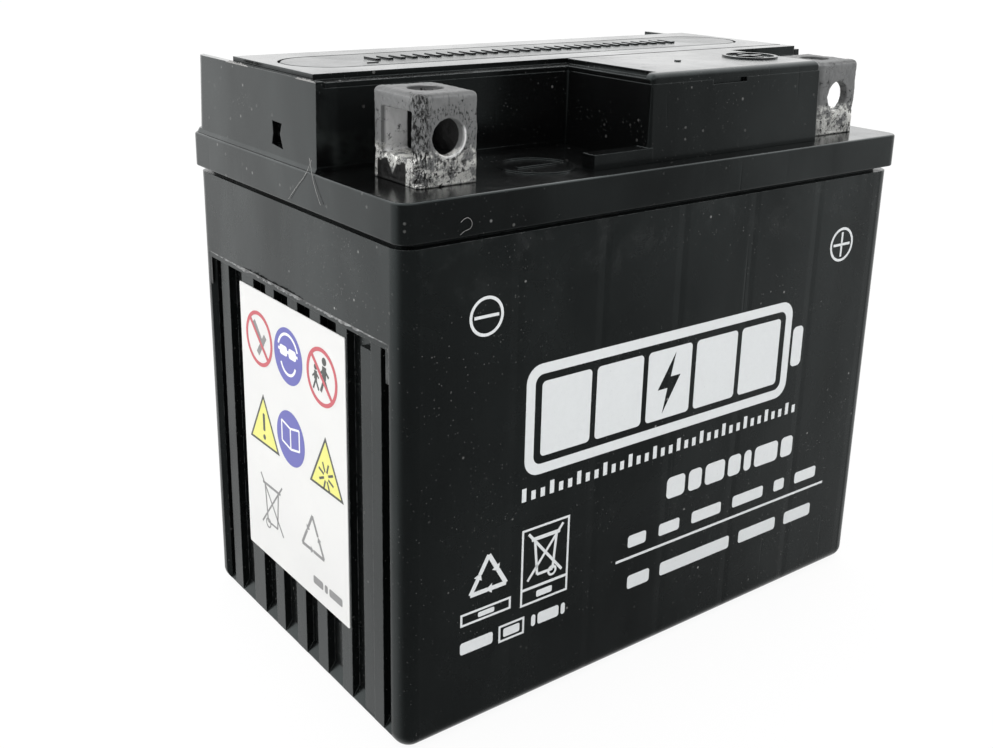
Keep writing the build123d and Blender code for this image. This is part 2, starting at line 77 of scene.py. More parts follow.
class Nodes:
    """Builds one material's node tree with short calls."""

    def __init__(self, name):
        self.material = bpy.data.materials.new(name)
        self.material.use_nodes = True
        self.tree = self.material.node_tree
        self.tree.nodes.clear()
        self.output = self.add("ShaderNodeOutputMaterial")
        self.place = self.add("ShaderNodeTexCoord").outputs["Object"]

    def add(self, kind, inputs=None, **settings):
        node = self.tree.nodes.new(kind)
        for key, value in settings.items():
            setattr(node, key, value)
        for key, value in (inputs or {}).items():
            self.feed(node.inputs[key], value)
        return node

    def feed(self, socket, value):
        if isinstance(value, bpy.types.NodeSocket):
            self.tree.links.new(value, socket)
        else:
            socket.default_value = value

    def math(self, operation, a, b=0.0, clamp=False):
        return self.add("ShaderNodeMath", {0: a, 1: b}, operation=operation, use_clamp=clamp).outputs[0]

    def ramp(self, value, low, high, to_low=0.0, to_high=1.0):
        """value from low to high becomes to_low to to_high, and stops there."""
        return self.add("ShaderNodeMapRange", {"Value": value, "From Min": low, "From Max": high,
                                               "To Min": to_low, "To Max": to_high}).outputs["Result"]

    def noise(self, scale, detail=3.0, rough=0.5, stretch=(1, 1, 1), distortion=0.0):
        """Noise with so many features a metre."""
        stretched = self.add("ShaderNodeMapping", {"Vector": self.place, "Scale": stretch}).outputs[0]
        return self.add("ShaderNodeTexNoise", {"Vector": stretched, "Scale": scale, "Detail": detail,
                                               "Roughness": rough, "Distortion": distortion}).outputs[0]

    def specks(self, per_metre, size, share):
        """Round specks in a random share of the cells, each a fraction of a cell wide."""
        cells = self.add("ShaderNodeTexVoronoi", {"Vector": self.place, "Scale": per_metre})
        inside = self.ramp(cells.outputs["Distance"], size, size * 0.6)
        chance = self.add("ShaderNodeSeparateColor", {"Color": cells.outputs["Color"]}).outputs[0]
        return self.math("MULTIPLY", inside, self.ramp(chance, share, share * 0.7))

    def mix(self, factor, a, b):
        """A colour from a to b."""
        node = self.add("ShaderNodeMix", data_type="RGBA")
        self.feed(node.inputs[0], factor)
        self.feed(node.inputs[6], a)
        self.feed(node.inputs[7], b)
        return node.outputs[2]

    def bump(self, height, distance, under=None, strength=1.0):
        inputs = {"Height": height, "Distance": distance, "Strength": strength}
        if under is not None:
            inputs["Normal"] = under
        return self.add("ShaderNodeBump", inputs).outputs[0]

    def soft_edges(self, radius):
        return self.add("ShaderNodeBevel", {"Radius": radius}, samples=6).outputs[0]

    def edge_mask(self, softened):
        """1 on a sharp outer or inner edge, 0 on a flat face."""
        true_normal = self.add("ShaderNodeNewGeometry").outputs["Normal"]
        agree = self.add("ShaderNodeVectorMath", {0: softened, 1: true_normal}, operation="DOT_PRODUCT")
        return self.ramp(agree.outputs["Value"], 0.985, 0.9)

    def axis(self, index):
        return self.add("ShaderNodeSeparateXYZ", {0: self.place}).outputs[index]

    def every(self, pitch, index, shift):
        """Runs from 0 to 1 once every pitch along an axis. The shift keeps the places above 0."""
        return self.math("FRACT", self.math("DIVIDE", self.math("ADD", self.axis(index), shift), pitch))

    def dust(self, where, specks, grime):
        """Specks, and grime half as strong, each given as for specks()."""
        coarse = self.math("MULTIPLY", self.specks(*specks), where)
        fine = self.math("MULTIPLY", self.specks(*grime), where)
        return self.math("ADD", coarse, self.math("MULTIPLY", fine, 0.5), clamp=True)

    def finish(self, **inputs):
        """The material, with a shader that takes the given looks."""
        names = {"color": "Base Color", "roughness": "Roughness", "normal": "Normal", "metallic": "Metallic",
                 "specular": "Specular IOR Level", "tint": "Specular Tint", "sheen": "Sheen Weight"}
        looks = {names[key]: value for key, value in inputs.items()}
        shader = self.add("ShaderNodeBsdfPrincipled", looks)
        self.tree.links.new(shader.outputs[0], self.output.inputs[0])
        return self.material


def grey(value, tint=(1.0, 1.0, 1.0)):
    return (value * tint[0], value * tint[1], value * tint[2], 1.0)


# ------------------------------------------------------------------ materials


COOL_SHINE = grey(1.0, (0.86, 1.0, 1.0))
DUST_TINT = (1.0, 0.99, 0.96)


def black_plastic(name, colour, roughness, edge_radius, haze, dust):
    """Moulded polypropylene: cloudy gloss, fine scratches, settled dust, worn edges."""
    n = Nodes(name)
    edges = n.soft_edges(edge_radius)
    worn = n.math("MULTIPLY", n.edge_mask(edges), n.ramp(n.noise(900, 4, 0.65), 0.5, 0.72))
    cloud = n.noise(60, 4, 0.55, distortion=0.6)
    scuffs = n.ramp(n.noise(260, 8, 0.75, stretch=(1, 1, 0.35)), 0.58, 0.8)
    scratches = n.ramp(n.noise(1400, 2, 0.4, stretch=(1, 1, 0.03)), 0.68, 0.78)
    dusty = n.ramp(n.noise(45, 3, 0.6), 0.45, 0.75)
    marks = n.dust(dusty, (950, 0.3, dust), (2600, 0.32, dust * 2.0))
    base = n.mix(n.math("MULTIPLY", cloud, haze), colour, grey(0.012, (0.96, 1.0, 1.02)))
    base = n.mix(n.math("MULTIPLY", worn, 0.35), base, grey(0.15))
    base = n.mix(n.math("MULTIPLY", marks, 0.6), base, grey(0.42, DUST_TINT))
    rough = n.ramp(cloud, 0.3, 0.75, roughness - 0.06, roughness + 0.1)
    rough = n.math("ADD", rough, n.math("MULTIPLY", scuffs, 0.12))
    rough = n.math("ADD", rough, n.math("MULTIPLY", marks, 0.3), clamp=True)
    gloss = n.noise(55, 4, 0.55, stretch=(1, 1, 0.5), distortion=0.5)
    skin = n.bump(n.noise(35, 2, 0.5), 0.18 * MM, edges, 0.5)
    skin = n.bump(n.noise(2200, 3, 0.6), 0.012 * MM, skin, 0.6)
    skin = n.bump(n.math("SUBTRACT", worn, scratches), 0.02 * MM, skin, 0.5)
    return n.finish(color=base, roughness=rough, normal=skin, specular=n.ramp(gloss, 0.32, 0.68, 0.34, 0.6),
                    tint=COOL_SHINE)


CELL_PITCH = 17.5 * MM
STAINS_FROM, STAINS_TO = 72.0 * MM, 80.0 * MM


def case_plastic():
    """The case's plastic, with faint sink lines over the cell walls and stains near its top."""
    n = Nodes("case_plastic")
    edges = n.soft_edges(0.18 * MM)
    worn = n.math("MULTIPLY", n.edge_mask(edges), n.ramp(n.noise(700, 5, 0.7), 0.42, 0.62))
    cloud = n.noise(48, 4, 0.6, distortion=0.8)
    stains = n.ramp(n.noise(150, 6, 0.7, distortion=0.4), 0.52, 0.7)
    near_top = n.ramp(n.axis(2), STAINS_FROM, STAINS_TO)
    scratches = n.ramp(n.noise(1300, 2, 0.4, stretch=(1, 1, 0.03)), 0.68, 0.8)
    dusty = n.ramp(n.noise(38, 3, 0.6), 0.42, 0.72)
    marks = n.dust(dusty, (800, 0.22, 0.03), (2300, 0.3, 0.1))
    base = n.mix(n.math("MULTIPLY", cloud, 0.35), grey(0.002, (0.9, 1.0, 1.0)), grey(0.008, (0.92, 1.0, 1.0)))
    base = n.mix(n.math("MULTIPLY", n.math("MULTIPLY", stains, near_top), 0.1), base, grey(0.09))
    base = n.mix(n.math("MULTIPLY", worn, 0.4), base, grey(0.2))
    base = n.mix(n.math("MULTIPLY", marks, 0.6), base, grey(0.45, DUST_TINT))
    rough = n.ramp(cloud, 0.3, 0.75, 0.2, 0.32)
    rough = n.math("ADD", rough, n.math("MULTIPLY", stains, 0.06))
    rough = n.math("ADD", rough, n.math("MULTIPLY", worn, 0.2), clamp=True)
    gloss = n.noise(42, 4, 0.55, stretch=(1, 1, 0.45), distortion=0.6)
    # a shallow furrow every cell pitch, where the wall is thicker and sinks as it cools
    across = n.every(CELL_PITCH, 0, 10 * CELL_PITCH)
    furrow = n.ramp(n.math("ABSOLUTE", n.math("SUBTRACT", across, 0.5)), 0.42, 0.5)
    skin = n.bump(furrow, -0.05 * MM, edges, 0.6)
    skin = n.bump(n.noise(30, 2, 0.5), 0.18 * MM, skin, 0.6)
    skin = n.bump(n.noise(1900, 3, 0.6), 0.012 * MM, skin, 0.6)
    skin = n.bump(n.math("SUBTRACT", worn, scratches), 0.03 * MM, skin, 0.6)
    return n.finish(color=base, roughness=rough, normal=skin, specular=n.ramp(gloss, 0.32, 0.68, 0.34, 0.58),
                    tint=COOL_SHINE)


# The negative terminal's features, in millimetres back from its front face or up from its foot.
HOLE_RADIUS, HOLE_UP = 2.75, 6.9
SLOT_FRONT, SLOT_BACK = 1.8, 10.1
SLOT_FOOT, SLOT_HEAD = 3.9, 10.7
WEDGE_PLACE, WEDGE_UP = 7.0, 1.0


def lead_cast():
    """Dull cast lead: a grey skin, with dark pits and bright rubbed patches where handling leaves them,
    painted shade in and under the nut slot and on the blunt corner, and painted light on the slot's back wall
    and on the front hole's lower right rim.

    Most marks belong to the negative terminal and are placed from its block, in millimetres: along from
    the left face, deep from the front face and up from the deck.
    """
    n = Nodes("lead")
    along, deep, up = (n.math("DIVIDE", n.math("SUBTRACT", n.axis(i), start), MM)
                       for i, start in enumerate((block_low.x, block_low.y, deck_z)))

    def inside(value, low, high):
        """1 between two places, with soft ends."""
        soft = 0.12
        return both(n.ramp(value, low - soft, low + soft), n.ramp(value, high + soft, high - soft))

    def both(first, *others):
        """1 where every mask is 1."""
        for other in others:
            first = n.math("MULTIPLY", first, other)
        return first

    def either(first, *others):
        """1 where any mask is 1."""
        for other in others:
            first = n.math("MAXIMUM", first, other)
        return first

    skin = n.noise(420, 6, 0.65)
    grit = n.noise(1500, 5, 0.7, distortion=0.5)
    streaks = n.noise(3200, 4, 0.75, stretch=(1, 1, 0.35))
    blotch = n.ramp(n.noise(330, 4, 0.6, distortion=0.8), 0.5, 0.62)
    low = n.ramp(n.math("ADD", up, n.math("MULTIPLY", grit, 4.0)), 7.3, 6.3)
    pitted = n.math("ADD", n.math("MULTIPLY", low, 0.9), blotch, clamp=True)
    pits = both(n.ramp(grit, 0.545, 0.585), pitted)
    rubbed = both(n.ramp(n.noise(520, 6, 0.7), 0.42, 0.52), low)

    # painted shade on the blunt outer corner, broken up by fine streaks
    corner = n.math("ADD", n.math("ABSOLUTE", along), deep)
    painted_corner_shade = both(n.ramp(corner, 3.0, 1.7), n.ramp(streaks, 0.47, 0.55))

    # a dark ring round the front hole, and a painted highlight on the hole's rim at its lower right
    across = n.math("SUBTRACT", along, (block_high.x - block_low.x) / 2 / MM)
    above = n.math("SUBTRACT", up, HOLE_UP)
    squares = n.math("ADD", n.math("MULTIPLY", across, across), n.math("MULTIPLY", above, above))
    reach = n.math("SUBTRACT", n.math("SQRT", squares), HOLE_RADIUS)
    front = n.ramp(deep, 0.6, 0.4)
    dark_ring = both(inside(reach, 0.45, 2.05), front, n.ramp(streaks, 0.52, 0.6))
    lower_right = n.ramp(n.math("ADD", across, n.math("MULTIPLY", above, -0.7)), 1.4, 2.2)
    painted_rim_highlight = both(inside(reach, 0.1, 0.4), front, lower_right)
    parting = both(inside(along, 5.35, 5.5), front, n.ramp(skin, 0.35, 0.55))

    # the nut slot, painted black at its far end as painted shade, and painted bright on its back wall as
    # painted light where shade falls
    slot_height = inside(up, SLOT_FOOT - 0.2, SLOT_HEAD + 0.2)
    painted_slot_shade = both(inside(along, 4.75, 9.75), inside(deep, SLOT_FRONT - 0.3, SLOT_BACK + 0.5), slot_height)
    painted_back_wall_light = both(inside(deep, SLOT_BACK - 0.8, SLOT_BACK + 0.6), slot_height)
    painted_back_wall_light = both(painted_back_wall_light, n.ramp(along, 0.55, 1.05, 0.0, 0.75))

    # painted shade over the foot under the slot, with a ragged upper edge, left out in a wedge that keeps the
    # plain metal colour
    off_wedge = n.math("ABSOLUTE", n.math("SUBTRACT", deep, WEDGE_PLACE))
    wedge_half = n.math("MULTIPLY", n.math("SUBTRACT", up, WEDGE_UP), 0.7)
    off_wedge = n.ramp(n.math("SUBTRACT", off_wedge, wedge_half), -0.2, 0.2)
    ragged_top = n.math("ADD", up, n.math("MULTIPLY", n.noise(700, 3, 0.6), 2.2))
    painted_foot_shade = both(n.ramp(along, 0.85, 0.55), inside(deep, SLOT_FRONT + 1.5, SLOT_BACK + 1.1))
    painted_foot_shade = both(painted_foot_shade, n.ramp(ragged_top, 4.1, 3.8), off_wedge)

    # pits, the parting line and the dark ring, together with the painted shade on the corner, in the slot and
    # on the foot under it
    dark = either(pits, painted_corner_shade, dark_ring, painted_slot_shade, painted_foot_shade, n.math("MULTIPLY", parting, 0.7))
    base = n.mix(skin, grey(0.11, (0.98, 1.0, 1.01)), grey(0.24, (0.98, 1.0, 1.0)))
    base = n.mix(n.ramp(up, 12.8, 13.2, 0.0, 0.55), base, grey(0.03))
    base = n.mix(n.math("MULTIPLY", rubbed, 0.9), base, grey(0.85, (1.0, 1.0, 0.96)))
    # the painted highlight on the hole's rim and the painted light on the slot's back wall
    base = n.mix(either(painted_rim_highlight, painted_back_wall_light), base, grey(0.85))
    base = n.mix(dark, base, grey(0.006))
    metal = n.math("ADD", 0.25, n.math("MULTIPLY", rubbed, 0.35))
    rough = n.math("SUBTRACT", n.ramp(skin, 0.3, 0.7, 0.42, 0.6), n.math("MULTIPLY", rubbed, 0.12))
    relief = n.bump(n.noise(1100, 5, 0.7), 0.06 * MM, None, 0.7)
    grain = n.math("SUBTRACT", n.noise(4000, 3, 0.6), n.math("MULTIPLY", dark, 2.0))
    relief = n.bump(grain, 0.02 * MM, relief, 0.6)
    return n.finish(color=base, roughness=rough, metallic=metal, normal=relief)


def strap_lead():
    """Lead parts inside the cells, dull and even."""
    n = Nodes("strap_lead")
    skin = n.noise(300, 5, 0.6)
    base = n.mix(skin, grey(0.2, (0.97, 1.0, 1.04)), grey(0.4, (0.97, 1.0, 1.03)))
    relief = n.bump(n.noise(900, 5, 0.65), 0.05 * MM, n.soft_edges(0.3 * MM), 0.6)
    return n.finish(color=base, roughness=n.ramp(skin, 0.3, 0.7, 0.45, 0.65), metallic=0.8, normal=relief)


GRID_PITCH = 6 * MM


def paste(name, dark, light):
    """Pasted plate: a fine grain with the shallow lattice of the grid under it."""
    n = Nodes(name)
    grain = n.noise(2600, 5, 0.7)
    patches = n.noise(160, 4, 0.6)
    level, upright = (n.ramp(n.every(GRID_PITCH, axis, 1.0), 0.85, 0.95) for axis in (2, 1))
    base = n.mix(n.math("MULTIPLY", n.math("ADD", grain, patches), 0.5), dark, light)
    relief = n.bump(n.math("MAXIMUM", level, upright), 0.1 * MM, None, 0.5)
    relief = n.bump(grain, 0.05 * MM, relief, 0.8)
    return n.finish(color=base, roughness=n.ramp(grain, 0.3, 0.7, 0.8, 0.95), normal=relief)


def glass_mat():
    """White glass-fibre felt."""
    n = Nodes("glass_mat")
    fibres = n.noise(3000, 5, 0.7, stretch=(1, 0.2, 1), distortion=1.5)
    base = n.mix(fibres, grey(0.62), grey(0.86, (1.0, 1.0, 0.98)))
    return n.finish(color=base, roughness=n.ramp(fibres, 0.3, 0.7, 0.85, 1.0),
                    normal=n.bump(fibres, 0.08 * MM, None, 0.9), sheen=0.2)


def rubber():
    """Matt black moulded rubber."""
    n = Nodes("rubber")
    grain = n.noise(2400, 4, 0.6)
    base = n.mix(grain, grey(0.01), grey(0.024))
    return n.finish(color=base, roughness=n.ramp(grain, 0.3, 0.7, 0.6, 0.78),
                    normal=n.bump(grain, 0.03 * MM, n.soft_edges(0.2 * MM), 0.6))


def porous_plastic():
    """White sintered plastic, full of fine pores."""
    n = Nodes("porous_filter")
    pores = n.ramp(n.noise(2800, 4, 0.7), 0.5, 0.62)
    base = n.mix(pores, grey(0.8), grey(0.35))
    return n.finish(color=base, roughness=n.ramp(pores, 0.0, 1.0, 0.7, 0.95),
                    normal=n.bump(pores, -0.1 * MM, None, 0.8))


def resin(name, colour, light):
    """Poured sealing resin with a slightly wavy glossy top."""
    n = Nodes(name)
    wave = n.noise(220, 3, 0.5)
    return n.finish(color=n.mix(wave, colour, light), roughness=n.ramp(wave, 0.3, 0.7, 0.12, 0.28),
                    normal=n.bump(wave, 0.1 * MM, None, 0.7))


def label_film():
    """Satin white film, a little uneven where it bridges the grooves."""
    n = Nodes("label_film")
    tone = n.noise(70, 4, 0.5)
    base = n.mix(tone, grey(0.66, (1.0, 1.0, 0.99)), grey(0.74, (1.0, 1.0, 0.98)))
    smudge = n.ramp(n.noise(300, 5, 0.7), 0.62, 0.75)
    base = n.mix(n.math("MULTIPLY", smudge, 0.12), base, grey(0.5))
    return n.finish(color=base, roughness=n.ramp(tone, 0.3, 0.7, 0.36, 0.5),
                    normal=n.bump(n.noise(1500, 3, 0.6), 0.01 * MM, None, 0.5))


def ink(name, colour, worn, roughness):
    """Screen-printed ink, slightly thin and mottled."""
    n = Nodes(name)
    mottle = n.noise(900, 6, 0.7)
    thin = n.ramp(n.noise(2600, 4, 0.75), 0.62, 0.78)
    base = n.mix(n.math("MULTIPLY", thin, 0.5), n.mix(mottle, colour, worn), grey(0.1))
    return n.finish(color=base, roughness=n.ramp(mottle, 0.3, 0.7, roughness, roughness + 0.15),
                    normal=n.bump(mottle, 0.012 * MM, None, 0.6))


def patchy_grey_flash():
    """Moulding flash in patchy grey, lighter than the case."""
    n = Nodes("patchy_grey_flash")
    rub = n.ramp(n.noise(900, 4, 0.6), 0.35, 0.65)
    return n.finish(color=n.mix(rub, grey(0.05), grey(0.32, (0.98, 1.0, 1.0))), roughness=0.6)


def lint():
    """Pale dust fibres."""
    n = Nodes("lint")
    tone = n.noise(2000, 2, 0.5)
    return n.finish(color=n.mix(tone, grey(0.2), grey(0.45, (1.0, 0.98, 0.95))), roughness=0.8)


def floor_finish():
    """Plain white paper, so brightly lit that little of the battery's shadow shows."""
    n = Nodes("paper")
    tone = n.noise(8, 2, 0.5)
    paper = n.add("ShaderNodeBsdfDiffuse", {"Color": n.mix(tone, grey(0.86), grey(0.88))})
    lit = n.add("ShaderNodeEmission", {"Color": grey(1.0), "Strength": 1.0})
    seen = n.add("ShaderNodeLightPath").outputs["Is Camera Ray"]
    share = n.math("MULTIPLY", seen, 0.93)
    both = n.add("ShaderNodeMixShader", {0: share, 1: paper.outputs[0], 2: lit.outputs[0]})
    n.tree.links.new(both.outputs[0], n.output.inputs[0])
    return n.material


finishes = {
    "case_plastic": case_plastic(),
    "lid_plastic": black_plastic("lid_plastic", grey(0.0022), 0.16, 0.18 * MM, 0.12, 0.05),
    "plug_plastic": black_plastic("plug_plastic", grey(0.003), 0.24, 0.12 * MM, 0.12, 0.05),
    "rubber": rubber(),
    "porous_filter": porous_plastic(),
    "label_film": label_film(),
    "lead": lead_cast(),
    "strap_lead": strap_lead(),
    "positive_paste": paste("positive_paste", grey(0.1, (1.2, 0.6, 0.35)), grey(0.2, (1.2, 0.6, 0.35))),
    "negative_paste": paste("negative_paste", grey(0.2, (0.97, 1.0, 1.02)), grey(0.4, (0.97, 1.0, 1.02))),
    "glass_mat": glass_mat(),
    "negative_resin": resin("negative_resin", grey(0.01), grey(0.02)),
    "positive_resin": resin("positive_resin", grey(0.3, (1.0, 0.05, 0.04)), grey(0.4, (1.0, 0.07, 0.05))),
}
for part in frame["record"]["subparts"]:
    mesh = frame["nodes"][part["node"]].data
    mesh.materials.clear()
    mesh.materials.append(finishes[part["material_slot"]])


# ------------------------------------------------------------------ flat printed shapes
# A shape is a list of closed loops of points, in millimetres. A loop inside another is a hole.

DISC_POINTS = 48


def arc(cx, cz, radius, start, end, steps):
    """Points on an arc, angles in degrees."""
    turn = [math.radians(start + (end - start) * i / steps) for i in range(steps + 1)]
    return [(cx + radius * math.cos(t), cz + radius * math.sin(t)) for t in turn]


def disc(cx, cz, radius):
    return [arc(cx, cz, radius, 0, 360 - 360 / DISC_POINTS, DISC_POINTS - 1)]


def hoop(cx, cz, radius, line):
    return disc(cx, cz, radius) + disc(cx, cz, radius - line)


def bar(x0, z0, x1, z1, radius=0.0):
    """A rectangle with rounded corners."""
    if radius <= 0:
        return [[(x0, z0), (x1, z0), (x1, z1), (x0, z1)]]
    corners = [(x1 - radius, z0 + radius, -90), (x1 - radius, z1 - radius, 0),
               (x0 + radius, z1 - radius, 90), (x0 + radius, z0 + radius, 180)]
    return [[p for cx, cz, a in corners for p in arc(cx, cz, radius, a, a + 90, 6)]]


def frame_box(x0, z0, x1, z1, line):
    return bar(x0, z0, x1, z1) + bar(x0 + line, z0 + line, x1 - line, z1 - line)


def turned(shape, cx, cz, angle):
    """The shape turned about a point by an angle in degrees."""
    c, s = math.cos(math.radians(angle)), math.sin(math.radians(angle))
    return [[(cx + (x - cx) * c - (z - cz) * s, cz + (x - cx) * s + (z - cz) * c) for x, z in loop]
            for loop in shape]


def stroke(x0, z0, x1, z1, line):
    """A straight line with square ends."""
    length = math.hypot(x1 - x0, z1 - z0)
    flat = bar(x0, z0 - line / 2, x0 + length, z0 + line / 2)
    return turned(flat, x0, z0, math.degrees(math.atan2(z1 - z0, x1 - x0)))


def triangle(cx, cz, radius):
    """A triangle standing on one side."""
    return [arc(cx, cz, radius, 90, 330, 2)]


def bolt(cx, cz, height):
    """A plain lightning flash."""
    points = ((0.12, 0.5), (-0.24, -0.08), (-0.03, -0.08), (-0.12, -0.5), (0.24, 0.1), (0.03, 0.1))
    return [[(cx + x * height, cz + z * height) for x, z in points]]


def recycling_loop(cx, cz, radius, line):
    """Three arrows chasing each other round a triangle, each bent round a corner."""
    reach = 0.66 * radius
    half_head, head_length = 1.1 * line, 1.5 * line
    corner = (cx, cz + 0.8 * radius)
    tail = (corner[0] - 0.5 * reach, corner[1] - 0.87 * reach)
    tip = (corner[0] + 0.42 * reach, corner[1] - 0.73 * reach)
    away = math.degrees(math.atan2(tip[1] - corner[1], tip[0] - corner[0]))
    head = [(tip[0], tip[1] - half_head), (tip[0] + head_length, tip[1]), (tip[0], tip[1] + half_head)]
    arrow = [stroke(*tail, *corner, line), stroke(*corner, *tip, line), turned([head], *tip, away)]
    return [turned(shape, cx, cz, -120 * third) for third in range(3) for shape in arrow]


def crossed_bin(cx, cz, height, line):
    """A wheeled bin with two strokes through it."""
    h = height / 2
    body = [(cx - 0.5 * h, cz + 0.6 * h), (cx - 0.36 * h, cz - 0.8 * h),
            (cx + 0.36 * h, cz - 0.8 * h), (cx + 0.5 * h, cz + 0.6 * h)]
    lines = [stroke(*body[i], *body[i + 1], line) for i in range(3)]
    lines.append(bar(cx - 0.66 * h, cz + 0.6 * h, cx + 0.66 * h, cz + 0.6 * h + 1.4 * line, 0.3 * line))
    lines.append(hoop(cx + 0.34 * h, cz - 0.86 * h, 0.16 * h + line / 2, line * 0.8))
    lines.append(stroke(cx - 0.8 * h, cz - 0.95 * h, cx + 0.8 * h, cz + 0.95 * h, line))
    lines.append(stroke(cx - 0.8 * h, cz + 0.95 * h, cx + 0.8 * h, cz - 0.95 * h, line))
    return lines


def words(x0, z0, height, widths, gap):
    """A line of plain blocks where a line of small print would be."""
    blocks = []
    for width in widths:
        blocks.append(bar(x0, z0, x0 + width, z0 + height, 0.22 * height))
        x0 += width + gap
    return blocks


LAYER = 0.001 * MM
LAYERS = 5


def printed(name, shapes, to_space, thickness, finish):
    """Lays flat shapes, each with its holes, on a face as one thin piece of ink.

    Shapes next to each other in the list lie in different layers, so that overlapping neighbours never
    share a face.
    """
    whole = bmesh.new()
    for count, shape in enumerate(shapes):
        outline = bpy.data.curves.new("outline", "CURVE")
        outline.dimensions = "2D"
        outline.fill_mode = "BOTH"
        outline.extrude = thickness / 2
        for loop in shape:
            spline = outline.splines.new("POLY")
            spline.points.add(len(loop) - 1)
            for point, (x, z) in zip(spline.points, loop):
                point.co = (x * MM, z * MM, 0, 1)
            spline.use_cyclic_u = True
        holder = bpy.data.objects.new("outline", outline)
        flat = bpy.data.meshes.new_from_object(holder)
        for vertex in flat.vertices:
            lift = vertex.co.z + thickness / 2 + (count % LAYERS) * LAYER
            vertex.co = to_space(vertex.co.x, vertex.co.y, lift)
        whole.from_mesh(flat)
        bpy.data.objects.remove(holder)
        bpy.data.meshes.remove(flat)
    bmesh.ops.recalc_face_normals(whole, faces=whole.faces)
    mesh = bpy.data.meshes.new(name)
    whole.to_mesh(mesh)
    whole.free()
    mesh.materials.append(finish)
    piece = bpy.data.objects.new(name, mesh)
    bpy.context.scene.collection.objects.link(piece)
    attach(piece, "battery")


def front_face(z):
    """How far back the case's printed side is at a height."""
    hit, place, _, _ = frame["nodes"]["case"].ray_cast(Vector((0, -0.1, z)), Vector((0, 1, 0)))
    if not hit:
        raise ValueError("the case has no printed side there")
    return place.y


LOW_Z, HIGH_Z = 15 * MM, 75 * MM
low_y, high_y = front_face(LOW_Z), front_face(HIGH_Z)
front_slope = (high_y - low_y) / (HIGH_Z - LOW_Z)
PRINT_LIFT = 0.004 * MM


def on_front(x, z, lift):
    """A point of the printed side, which leans out a little towards the top."""
    return Vector((x, low_y + front_slope * (z - LOW_Z) - lift - PRINT_LIFT, z))


def on_label(x, z, lift):
    """A point of the end label. x runs from the label's front edge towards the back."""
    return Vector((label_low.x - lift - PRINT_LIFT, label_low.y + x, label_low.z + z))


def polarity(cx, cz, radius, reach, plus):
    """A ring with a minus or a plus in it, its cross bar in two halves."""
    line, gap = 0.5, 0.3
    shapes = [hoop(cx, cz, radius, line), bar(cx - reach, cz - line / 2, cx + reach, cz + line / 2)]
    if plus:
        shapes.append(bar(cx - line / 2, cz - reach, cx + line / 2, cz - gap))
        shapes.append(bar(cx - line / 2, cz + gap, cx + line / 2, cz + reach))
    return shapes


def charge_gauge():
    """A battery outline with its pole, five full cells and a flash through the middle one."""
    left, foot, right, head, wall = -32.9, 42.7, 30.6, 61.9, 1.8
    middle = (foot + head) / 2
    inner = bar(left + wall, foot + wall, right - wall, head - wall, 1.6)
    shapes = [bar(left, foot, right, head, 3.0) + inner]
    shapes.append(bar(right + 0.7, middle - 4.0, right + 3.6, middle + 4.0, 1.0))
    cells, width, height, gap = 5, 10.5, 13.0, 1.15
    for i in range(cells):
        x = left + 3.2 + i * (width + gap)
        cell = bar(x, middle - height / 2, x + width, middle + height / 2, 0.8)
        if i == cells // 2:
            cell = cell + bolt(x + width / 2, middle, 11.2)
        shapes.append(cell)
    return shapes


def scale_ticks():
    """A row of ticks, every third one tall."""
    left, foot, width, pitch = -33.2, 38.5, 0.9, 1.95
    ticks = []
    for i in range(35):
        tall = 2.4 if i % 3 == 0 else 1.6
        ticks.append(bar(left + i * pitch, foot, left + i * pitch + width, foot + tall))
    return ticks


def front_print():
    """White marks on the printed side. Places run from the middle of its foot."""
    shapes = polarity(-41.0, 71.8, 3.2, 2.3, plus=False) + polarity(43.1, 70.8, 3.35, 2.4, plus=True)
    shapes += charge_gauge() + scale_ticks()
    # plain blocks where the type and the ratings would be, and a rule between two lines of them
    shapes += words(0.1, 29.4, 4.2, (4.6, 3.4, 5.2, 3.4, 2.0, 6.6, 3.4), 0.95)
    shapes += words(-8.8, 22.4, 2.4, (4.4, 5.2, 7.8, 8.6, 3.0, 6.4), 3.2)
    shapes.append(bar(-11.5, 20.15, 45.3, 20.65))
    shapes += words(-8.4, 14.0, 2.7, (5.4, 18.4, 10.6, 8.0), 2.7)
    # recycling loop over its caption box
    shapes += recycling_loop(-39.6, 27.0, 5.2, 0.8)
    shapes.append(frame_box(-45.1, 19.7, -34.9, 22.0, 0.4))
    shapes.append(bar(-41.6, 20.4, -38.3, 21.3, 0.3))
    # crossed bin in a frame, over its caption
    shapes.append(frame_box(-32.9, 19.0, -22.7, 33.3, 0.4))
    shapes.append(bar(-32.7, 21.8, -22.9, 22.3))
    shapes.append(bar(-29.5, 19.9, -26.1, 21.1, 0.3))
    shapes += crossed_bin(-27.8, 27.9, 9.2, 0.5)
    # the row of blocks and boxes under them
    shapes += words(-45.1, 14.5, 2.2, (6.6,), 1.0)
    shapes.append(frame_box(-37.3, 13.9, -31.9, 17.1, 0.4))
    shapes.append(bar(-36.3, 14.7, -32.9, 16.3, 0.3))
    shapes += words(-30.4, 14.5, 2.2, (0.9, 4.6, 0.9), 0.5)
    printed("front_print", shapes, on_front, 0.02 * MM, inks["silver"])


